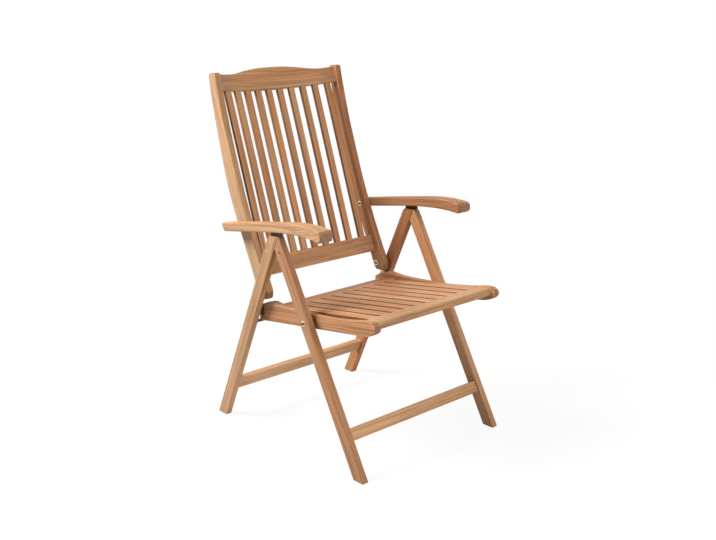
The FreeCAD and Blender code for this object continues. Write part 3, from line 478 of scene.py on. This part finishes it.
# One mesh of heads for each body: the points, which way they face, and their sizes
def set_heads(name, body, spots, sizes):
    mesh = bpy.data.meshes.new(name)
    mesh.from_pydata([place for place, way in spots], [], [])
    facing = mesh.attributes.new("facing", "FLOAT_VECTOR", "POINT")
    for i, (place, way) in enumerate(spots):
        facing.data[i].vector = way
    piece = bpy.data.objects.new(name, mesh)
    scene.collection.objects.link(piece)
    modifier = piece.modifiers.new("heads", "NODES")
    modifier.node_group = domed_heads_tree(sizes)
    for item in modifier.node_group.interface.items_tree:
        if item.name in sizes:
            modifier[item.identifier] = sizes[item.name]
        elif item.name == "Finish":
            modifier[item.identifier] = bolt_steel
    finished = piece.evaluated_get(bpy.context.evaluated_depsgraph_get())
    plain = bpy.data.meshes.new_from_object(finished)
    piece.modifiers.clear()
    piece.data = plain
    plain.shade_smooth()
    plain.set_sharp_from_angle(angle=SHARP_EDGE)
    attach(piece, body)


# Both sides of the chair, facing away from its middle (1) or towards it (-1)
def both_sides(x, y, z, way):
    return [((side * x, y, z), (side * way, 0.0, 0.0)) for side in (-1.0, 1.0)]


def pivot_of(node):
    low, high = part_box(node)
    return (low.y + high.y) / 2, (low.z + high.z) / 2


HEAD_SIZES = {"Radius": 0.0052, "Height": 0.0040, "Socket Radius": 0.0027, "Socket Depth": 0.0013}
SCREW_SIZES = {"Radius": 0.0040, "Height": 0.0024, "Socket Radius": 0.0019, "Socket Depth": 0.0005}

# How far from the chair's middle the heads stand: on the legs' outsides, inside the stiles, and on the straps
LEG_OUTSIDE = 0.2916
STILE_INSIDE = 0.2314
STRAP_OUTSIDE = 0.2590
LOWER_STRAP_SCREW = (0.11943, 0.38800)
UPPER_STRAP_SCREW = (0.12303, 0.41392)

seat_spots = both_sides(LEG_OUTSIDE, *pivot_of("seat_pivot_bolts"), 1.0)
back_spots = both_sides(STILE_INSIDE, *pivot_of("back_pivot_bolts"), -1.0)
arm_spots = both_sides(STILE_INSIDE, *pivot_of("arm_pivot_bolts"), -1.0)
strap_spots = []
for screw in (LOWER_STRAP_SCREW, UPPER_STRAP_SCREW):
    strap_spots += both_sides(STRAP_OUTSIDE, *screw, 1.0)
set_heads("seat_bolt_heads", "front_frame", seat_spots, HEAD_SIZES)
set_heads("back_bolt_heads", "back_bolts", back_spots, HEAD_SIZES)
set_heads("arm_bolt_heads", "arm_bolts", arm_spots, HEAD_SIZES)
set_heads("strap_screw_heads", "seat_frame", strap_spots, SCREW_SIZES)

# The camera stands where the photograph's did: ahead of the chair's right side, a little above it
IMAGE_WIDTH = 716
FOCAL_PIXELS = 971.162
SENSOR = 36.0
CAMERA_PLACE = (-1.94112, -2.23838, 1.30980)
camera_turn = Matrix((
    (0.74672727, 0.18613116, -0.63855586),
    (-0.66494385, 0.18617333, -0.72331816),
    (-0.01574998, 0.96472518, 0.26278748),
))
lens = bpy.data.cameras.new("camera")
lens.sensor_width = SENSOR
lens.sensor_fit = "HORIZONTAL"
lens.lens = FOCAL_PIXELS * SENSOR / IMAGE_WIDTH
camera = bpy.data.objects.new("camera", lens)
scene.collection.objects.link(camera)
camera.matrix_world = Matrix.Translation(CAMERA_PLACE) @ camera_turn.to_4x4()
scene.camera = camera

CHAIR_MIDDLE = Vector((0.0, 0.0, 0.55))


# A round softbox that looks at the chair from a bearing round it (0 is ahead, minus is its right) and from a
# height, in degrees
def softbox(name, bearing, height, distance, size, strength, colour=(1.0, 1.0, 1.0)):
    turn, rise = math.radians(bearing), math.radians(height)
    way = Vector((math.sin(turn) * math.cos(rise), -math.cos(turn) * math.cos(rise), math.sin(rise)))
    data = bpy.data.lights.new(name, "AREA")
    data.shape = "DISK"
    data.size = size
    data.energy = strength * (math.pi * distance) ** 2
    data.color = colour
    light = bpy.data.objects.new(name, data)
    scene.collection.objects.link(light)
    light.location = CHAIR_MIDDLE + distance * way
    light.rotation_euler = way.to_track_quat("Z", "Y").to_euler()


softbox("side_softbox", -126.0, 43.0, 3.8, 1.9, 1.60)
softbox("front_softbox", 4.0, 14.0, 4.0, 1.6, 0.50, (1.0, 0.95, 0.88))
softbox("far_softbox", 100.0, 10.0, 4.0, 1.8, 0.60, (1.0, 0.97, 0.93))
softbox("top_softbox", -50.0, 72.0, 3.4, 1.6, 0.26, (1.0, 0.99, 0.96))


# 1 where the camera, a gloss or a clear surface looks, 0 for the light on the object
def seen_directly(tree):
    path = put(tree, "ShaderNodeLightPath")
    seen = math_of(tree, "MAXIMUM", path.outputs["Is Camera Ray"], path.outputs["Is Glossy Ray"])
    return math_of(tree, "MAXIMUM", seen, path.outputs["Is Transmission Ray"])


# The room: white to look at, and a faint warm light on the object
WHITE = (1.0, 1.0, 1.0, 1.0)
AMBIENT = {"Color": (1.0, 0.93, 0.86, 1.0), "Strength": 0.06}
world = bpy.data.worlds.new("studio")
world.use_nodes = True
room = world.node_tree
room.nodes.clear()
ambient = put(room, "ShaderNodeBackground", AMBIENT)
backdrop = put(room, "ShaderNodeBackground", {"Color": WHITE, "Strength": 1.0})
sky_values = {0: seen_directly(room), 1: ambient.outputs[0], 2: backdrop.outputs[0]}
sky = put(room, "ShaderNodeMixShader", sky_values)
put(room, "ShaderNodeOutputWorld", {"Surface": sky.outputs[0]})
scene.world = world
scene.view_settings.view_transform = "Standard"

# Floor: a pale disc. It looks white, wholly so away from the chair, with a faint shadow near it
FLOOR_RADIUS = 30.0
FLOOR_CORNERS = 72
FLOOR_COLOUR = (0.55, 0.55, 0.55, 1.0)
FLOOR_DULLNESS = 0.9
FLOOR_GLOSS = 0.1
SHADOW_SHARE = 0.10
SHADOW_REACH = (0.9, 2.2)
bearings = [math.radians(360 / FLOOR_CORNERS * i) for i in range(FLOOR_CORNERS)]
floor_ring = [(FLOOR_RADIUS * math.cos(turn), FLOOR_RADIUS * math.sin(turn), 0.0) for turn in bearings]
floor_mesh = bpy.data.meshes.new("studio_floor")
floor_mesh.from_pydata(floor_ring, [], [tuple(range(FLOOR_CORNERS))])
floor = bpy.data.objects.new("studio_floor", floor_mesh)
scene.collection.objects.link(floor)
floor_white, floor_tree, floor_shader, floor_output = new_material("floor_white")
floor_shader.inputs["Base Color"].default_value = FLOOR_COLOUR
floor_shader.inputs["Roughness"].default_value = FLOOR_DULLNESS
floor_shader.inputs["Specular IOR Level"].default_value = FLOOR_GLOSS
glow = put(floor_tree, "ShaderNodeEmission", {"Color": WHITE, "Strength": 1.0})
shadow = put(floor_tree, "ShaderNodeBsdfDiffuse", {"Color": WHITE})
floor_place = put(floor_tree, "ShaderNodeTexCoord").outputs["Object"]
near = range_of(floor_tree, vector_of(floor_tree, "LENGTH", floor_place), *SHADOW_REACH, SHADOW_SHARE, 0.0)
seen_floor = put(floor_tree, "ShaderNodeMixShader", {0: near, 1: glow.outputs[0], 2: shadow.outputs[0]})
floor_values = {0: seen_directly(floor_tree), 1: floor_shader.outputs[0], 2: seen_floor.outputs[0]}
floor_mix = put(floor_tree, "ShaderNodeMixShader", floor_values)
floor_tree.links.new(floor_mix.outputs[0], floor_output.inputs["Surface"])
floor_mesh.materials.append(floor_white)
